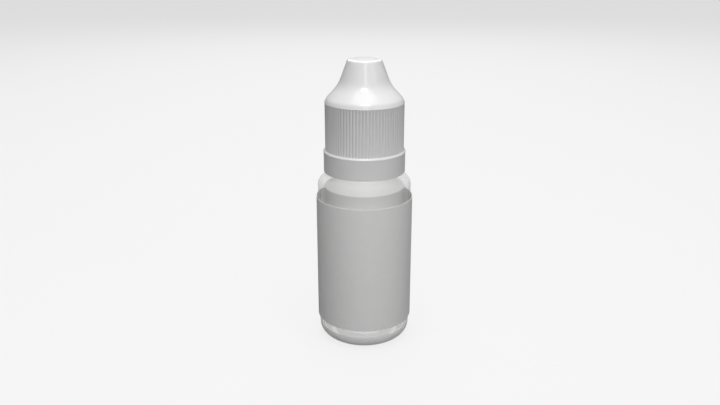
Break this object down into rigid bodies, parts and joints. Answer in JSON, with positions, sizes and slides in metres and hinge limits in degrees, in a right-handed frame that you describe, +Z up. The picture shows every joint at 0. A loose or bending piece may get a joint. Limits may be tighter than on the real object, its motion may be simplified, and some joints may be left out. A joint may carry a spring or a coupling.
{
  "type": "squeeze dropper bottle",
  "caption": "Small squeeze dropper bottle with a wrap label, a push-in dropper nozzle, and a ribbed push-and-turn screw cap over a tamper-evident band.",
  "frame": {"origin": "centre of the standing ring under the bottle, on the ground", "axes": "+Z up along the bottle's axis to the cap, -Y towards the viewer of the picture, the label's seam behind at +Y"},
  "size_m": [0.0224, 0.0224, 0.0666],
  "materials": {
    "bottle": "natural translucent low-density polyethylene, soft sheen",
    "label": "blank white film, satin",
    "dropper_plug": "soft natural polyethylene",
    "tamper_band": "white moulded polypropylene",
    "inner_cap": "white moulded polypropylene",
    "outer_cap": "white moulded polypropylene, glossy cone over a ribbed skirt"
  },
  "bodies": {
    "bottle": {"bottle": "bottle", "label": "label", "dropper_plug": "dropper_plug"},
    "tamper_band": {"tamper_band": "tamper_band"},
    "inner_cap": {"inner_cap": "inner_cap"},
    "outer_cap": {"outer_cap": "outer_cap"}
  },
  "joints": [
    {"name": "cap_turn", "type": "hinge", "parent": "bottle", "child": "tamper_band", "pos_m": [0, 0, 0.0436], "axis": [0, 0, 1], "range_deg": [0, 630]},
    {"name": "cap_rise", "type": "slide", "parent": "tamper_band", "child": "inner_cap", "axis": [0, 0, 1], "range_m": [0, 0.00438]},
    {"name": "cap_press", "type": "slide", "parent": "inner_cap", "child": "outer_cap", "axis": [0, 0, -1], "range_m": [0, 0.0012], "stiffness_N_per_m": 1500}
  ],
  "couplings": [
    {"joint": "cap_turn", "follows": "cap_rise", "rad_per_m": 2513.3}
  ]
}
